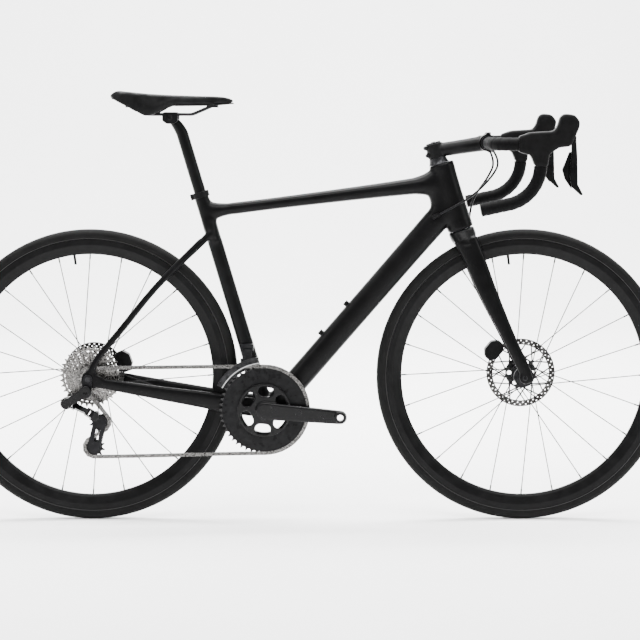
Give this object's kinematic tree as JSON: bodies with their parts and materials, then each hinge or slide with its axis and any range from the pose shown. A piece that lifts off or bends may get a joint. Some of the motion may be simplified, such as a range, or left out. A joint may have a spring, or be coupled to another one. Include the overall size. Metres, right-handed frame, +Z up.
{
  "type": "road bicycle",
  "caption": "Road bicycle with drop handlebars, disc brakes, a double chainring, a wide-range cassette and deep rims, shown without pedals.",
  "frame": {"origin": "on the ground, midway between the two axles, in the plane of the wheels", "axes": "+X forward along the wheelbase, +Y to the rider's left, +Z up"},
  "size_m": [1.6779, 0.452, 0.993],
  "materials": {
    "frame_paint": "satin",
    "alloy_black": "satin",
    "gloss_black": "gloss",
    "tyre": "matte",
    "rim_black": "satin",
    "steel": "satin",
    "black_steel": "satin",
    "chain_steel": "satin",
    "tape": "matte",
    "rubber_black": "matte",
    "plastic_black": "satin",
    "hose_black": "satin",
    "saddle_cover": "matte"
  },
  "bodies": {
    "frame": {"head_tube": "frame_paint", "top_tube": "frame_paint", "down_tube": "frame_paint", "seat_tube": "frame_paint", "chainstays": "frame_paint", "seatstays": "frame_paint", "derailleur_hanger": "alloy_black", "seat_clamp": "alloy_black", "frame_fittings": "black_steel", "frame_bearings": "steel", "fd_mount": "alloy_black", "rear_caliper": "alloy_black", "rear_axle": "black_steel", "rd_b_knuckle": "alloy_black", "chain": "chain_steel", "rear_brake_hose": "hose_black"},
    "post": {"seatpost": "frame_paint"},
    "clamp": {"saddle_clamp": "alloy_black"},
    "saddle": {"saddle_rails": "black_steel", "saddle_shell": "plastic_black", "saddle_pad": "saddle_cover"},
    "steering": {"fork": "frame_paint", "stem": "alloy_black", "stem_hardware": "alloy_black", "handlebar": "alloy_black", "bar_tape": "tape", "hoods": "rubber_black", "front_caliper": "alloy_black", "front_axle": "black_steel", "front_brake_hose": "hose_black"},
    "lever_right": {"brake_lever_right": "gloss_black"},
    "lever_left": {"brake_lever_left": "gloss_black"},
    "paddle_right": {"shift_paddle_right": "plastic_black"},
    "paddle_left": {"shift_paddle_left": "plastic_black"},
    "front_pad_inner": {"front_pad_inner": "black_steel"},
    "front_pad_outer": {"front_pad_outer": "black_steel"},
    "rear_pad_inner": {"rear_pad_inner": "black_steel"},
    "rear_pad_outer": {"rear_pad_outer": "black_steel"},
    "front_wheel": {"front_tyre": "tyre", "front_rim": "rim_black", "front_spokes": "black_steel", "front_hub": "gloss_black", "front_rotor": "steel"},
    "rear_wheel": {"rear_tyre": "tyre", "rear_rim": "rim_black", "rear_spokes": "black_steel", "rear_hub": "gloss_black", "rear_rotor": "steel"},
    "cassette": {"cassette": "steel"},
    "crank": {"crank_right": "gloss_black", "crank_left": "gloss_black", "chainrings": "alloy_black"},
    "fd_link": {"fd_link": "steel"},
    "fd_cage": {"fd_cage": "steel"},
    "rd_outer_link": {"rd_outer_link": "gloss_black"},
    "rd_inner_link": {"rd_inner_link": "gloss_black"},
    "rd_p_knuckle": {"rd_p_knuckle": "alloy_black"},
    "rd_cage": {"rd_cage": "alloy_black"},
    "guide_pulley": {"guide_pulley": "plastic_black"},
    "tension_pulley": {"tension_pulley": "plastic_black"}
  },
  "joints": [
    {"name": "steering", "type": "hinge", "parent": "frame", "child": "steering", "pos_m": [0.45697, 0, 0.32584], "axis": [-0.2924, 0, 0.9563], "range_deg": [-60, 60], "deforming": ["rear_brake_hose"]},
    {"name": "front_wheel_spin", "type": "hinge", "parent": "steering", "child": "front_wheel", "pos_m": [0.5, 0, 0.339], "axis": [0, 1, 0], "continuous": true},
    {"name": "rear_wheel_spin", "type": "hinge", "parent": "frame", "child": "rear_wheel", "pos_m": [-0.5, 0, 0.339], "axis": [0, 1, 0], "continuous": true},
    {"name": "crank_spin", "type": "hinge", "parent": "frame", "child": "crank", "pos_m": [-0.098, 0, 0.264], "axis": [0, 1, 0], "continuous": true, "deforming": ["chain"]},
    {"name": "cassette_spin", "type": "hinge", "parent": "frame", "child": "cassette", "pos_m": [-0.5, 0, 0.339], "axis": [0, 1, 0], "continuous": true},
    {"name": "rd_shift", "type": "hinge", "parent": "frame", "child": "rd_outer_link", "pos_m": [-0.53192, -0.07547, 0.27889], "axis": [0.4698, 0.342, 0.8138], "range_deg": [-5, 50], "stiffness_Nm_per_rad": 2},
    {"name": "rd_inner_swing", "type": "hinge", "parent": "frame", "child": "rd_inner_link", "pos_m": [-0.53414, -0.06325, 0.27504], "axis": [0.4698, 0.342, 0.8138], "range_deg": [-5, 50]},
    {"name": "rd_knuckle_level", "type": "hinge", "parent": "rd_outer_link", "child": "rd_p_knuckle", "pos_m": [-0.49934, -0.09056, 0.26643], "axis": [0.4698, 0.342, 0.8138], "range_deg": [-50, 5]},
    {"name": "rd_cage_swing", "type": "hinge", "parent": "rd_p_knuckle", "child": "rd_cage", "pos_m": [-0.484, 0, 0.255], "axis": [0, 1, 0], "range_deg": [-50, 25], "stiffness_Nm_per_rad": 1.5},
    {"name": "guide_pulley_spin", "type": "hinge", "parent": "rd_cage", "child": "guide_pulley", "pos_m": [-0.47523, 0, 0.23838], "axis": [0, 1, 0], "continuous": true},
    {"name": "tension_pulley_spin", "type": "hinge", "parent": "rd_cage", "child": "tension_pulley", "pos_m": [-0.48918, 0, 0.18008], "axis": [0, 1, 0], "continuous": true},
    {"name": "fd_shift", "type": "hinge", "parent": "frame", "child": "fd_link", "pos_m": [-0.13805, -0.0275, 0.39919], "axis": [1, 0, 0], "range_deg": [0, 18], "stiffness_Nm_per_rad": 1},
    {"name": "fd_cage_level", "type": "hinge", "parent": "fd_link", "child": "fd_cage", "pos_m": [-0.13805, -0.0355, 0.37769], "axis": [1, 0, 0], "range_deg": [-18, 0]},
    {"name": "brake_lever_right_pull", "type": "hinge", "parent": "steering", "child": "lever_right", "pos_m": [0.584, -0.21, 0.88991], "axis": [0, 1, 0], "range_deg": [0, 16], "stiffness_Nm_per_rad": 1.5},
    {"name": "shift_paddle_right_push", "type": "hinge", "parent": "lever_right", "child": "paddle_right", "pos_m": [0.583, -0.2015, 0.85191], "axis": [0, 0, -1], "range_deg": [0, 12], "stiffness_Nm_per_rad": 0.3},
    {"name": "brake_lever_left_pull", "type": "hinge", "parent": "steering", "child": "lever_left", "pos_m": [0.584, 0.21, 0.88991], "axis": [0, 1, 0], "range_deg": [0, 16], "stiffness_Nm_per_rad": 1.5},
    {"name": "shift_paddle_left_push", "type": "hinge", "parent": "lever_left", "child": "paddle_left", "pos_m": [0.583, 0.2015, 0.85191], "axis": [0, 0, 1], "range_deg": [0, 12], "stiffness_Nm_per_rad": 0.3},
    {"name": "front_pad_inner_press", "type": "slide", "parent": "steering", "child": "front_pad_inner", "axis": [0, 1, 0], "range_m": [0, 0.0004]},
    {"name": "front_pad_outer_press", "type": "slide", "parent": "steering", "child": "front_pad_outer", "axis": [0, -1, 0], "range_m": [0, 0.0004]},
    {"name": "rear_pad_inner_press", "type": "slide", "parent": "frame", "child": "rear_pad_inner", "axis": [0, 1, 0], "range_m": [0, 0.0004]},
    {"name": "rear_pad_outer_press", "type": "slide", "parent": "frame", "child": "rear_pad_outer", "axis": [0, -1, 0], "range_m": [0, 0.0004]},
    {"name": "seatpost_height", "type": "slide", "parent": "frame", "child": "post", "axis": [-0.284, 0, 0.9588], "range_m": [-0.07, 0.08]},
    {"name": "saddle_tilt", "type": "hinge", "parent": "post", "child": "clamp", "pos_m": [-0.31145, 0, 0.93282], "axis": [0, 1, 0], "range_deg": [-8, 8]},
    {"name": "saddle_fore_aft", "type": "slide", "parent": "clamp", "child": "saddle", "axis": [1, 0, 0], "range_m": [-0.012, 0.012]}
  ],
  "couplings": [
    {"joint": "cassette_spin", "follows": "crank_spin", "ratio": 4.1667},
    {"joint": "guide_pulley_spin", "follows": "crank_spin", "ratio": -4.5455},
    {"joint": "tension_pulley_spin", "follows": "crank_spin", "ratio": 4.5455},
    {"joint": "rd_inner_swing", "follows": "rd_shift", "ratio": 1},
    {"joint": "rd_knuckle_level", "follows": "rd_shift", "ratio": -1},
    {"joint": "fd_cage_level", "follows": "fd_shift", "ratio": -1},
    {"joint": "front_pad_inner_press", "follows": "brake_lever_left_pull", "m_per_rad": 0.0014324},
    {"joint": "front_pad_outer_press", "follows": "brake_lever_left_pull", "m_per_rad": 0.0014324},
    {"joint": "rear_pad_inner_press", "follows": "brake_lever_right_pull", "m_per_rad": 0.0014324},
    {"joint": "rear_pad_outer_press", "follows": "brake_lever_right_pull", "m_per_rad": 0.0014324}
  ]
}
